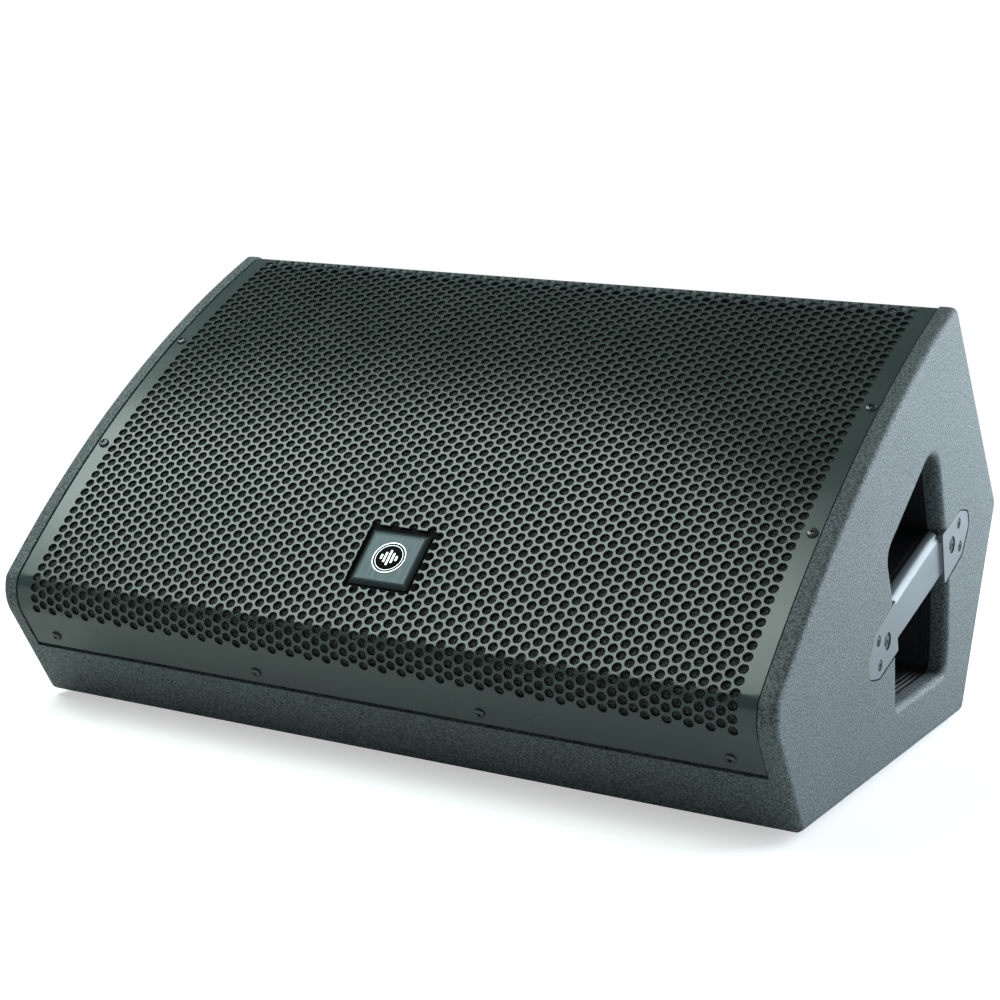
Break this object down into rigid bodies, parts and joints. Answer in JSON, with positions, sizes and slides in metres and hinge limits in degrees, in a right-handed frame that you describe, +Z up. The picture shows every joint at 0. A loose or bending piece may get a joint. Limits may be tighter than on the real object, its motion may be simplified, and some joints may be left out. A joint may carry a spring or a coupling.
{
  "type": "stage monitor wedge",
  "caption": "Low wedge-shaped stage loudspeaker with a bulging perforated grille, recessed side handles, a moving woofer cone behind the grille and a rear connector dish.",
  "frame": {"origin": "on the floor, under the middle of the cabinet's outer box", "axes": "+X across the cabinet towards its right end, +Y from the front rail towards the rear, +Z up"},
  "size_m": [0.71, 0.499, 0.3681],
  "materials": {
    "textured_paint": "plywood under a fine-grained dark grey texture paint",
    "bare_plywood": "plywood stained black inside the cabinet",
    "grille_paint": "steel sheet, semi-matt dark powder coat",
    "foam": "open-cell acoustic foam",
    "badge_metal": "dark brushed metal",
    "black_plastic": "moulded black plastic, slightly glossy",
    "grip_paint": "cast metal, smooth satin grey paint",
    "dark_screw": "blackened steel",
    "dark_steel": "pressed steel, black paint",
    "ferrite": "ferrite ring between zinc-plated plates",
    "rubber": "black rubber",
    "cone_paper": "black pressed paper pulp",
    "amber_cloth": "resin-treated cloth",
    "circuit": "green circuit board with its components",
    "switch_plastic": "light grey moulded plastic"
  },
  "bodies": {
    "cabinet": {"badge": "badge_metal", "badge_carrier": "black_plastic", "baffle": "bare_plywood", "bottom_panel": "textured_paint", "brace": "bare_plywood", "compression_driver": "dark_steel", "connector_dish": "dark_steel", "crossover": "circuit", "dish_screw_1": "dark_screw", "dish_screw_2": "dark_screw", "dish_screw_3": "dark_screw", "dish_screw_4": "dark_screw", "foot_1": "rubber", "foot_2": "rubber", "foot_3": "rubber", "foot_4": "rubber", "front_rail": "textured_paint", "grille": "grille_paint", "grille_foam": "foam", "grille_screw_1": "dark_screw", "grille_screw_2": "dark_screw", "grille_screw_3": "dark_screw", "grille_screw_4": "dark_screw", "grille_screw_5": "dark_screw", "grille_screw_6": "dark_screw", "grille_screw_7": "dark_screw", "grille_screw_8": "dark_screw", "grip_screw_left_1": "dark_screw", "grip_screw_left_2": "dark_screw", "grip_screw_left_3": "dark_screw", "grip_screw_left_4": "dark_screw", "grip_screw_left_5": "dark_screw", "grip_screw_left_6": "dark_screw", "grip_screw_right_1": "dark_screw", "grip_screw_right_2": "dark_screw", "grip_screw_right_3": "dark_screw", "grip_screw_right_4": "dark_screw", "grip_screw_right_5": "dark_screw", "grip_screw_right_6": "dark_screw", "handle_cup_left": "black_plastic", "handle_cup_right": "black_plastic", "handle_grip_left": "grip_paint", "handle_grip_right": "grip_paint", "horn": "black_plastic", "port_tube_inner": "black_plastic", "port_tube_outer": "black_plastic", "rear_lower_panel": "textured_paint", "rear_upper_panel": "textured_paint", "side_panel_left": "textured_paint", "side_panel_right": "textured_paint", "socket_input": "black_plastic", "socket_link": "black_plastic", "woofer_basket": "dark_steel", "woofer_magnet": "ferrite", "woofer_spider": "amber_cloth", "woofer_surround": "rubber"},
    "woofer_motor": {"woofer_cone": "cone_paper", "woofer_dust_cap": "cone_paper", "voice_coil": "amber_cloth"},
    "switch_knob": {"mode_switch": "switch_plastic"}
  },
  "joints": [
    {"name": "cone_travel", "type": "slide", "parent": "cabinet", "child": "woofer_motor", "axis": [0, -0.5809, 0.8139], "range_m": [-0.006, 0.006]},
    {"name": "mode_switch_slide", "type": "slide", "parent": "cabinet", "child": "switch_knob", "axis": [0, 0.3242, 0.946], "range_m": [0, 0.004]}
  ]
}
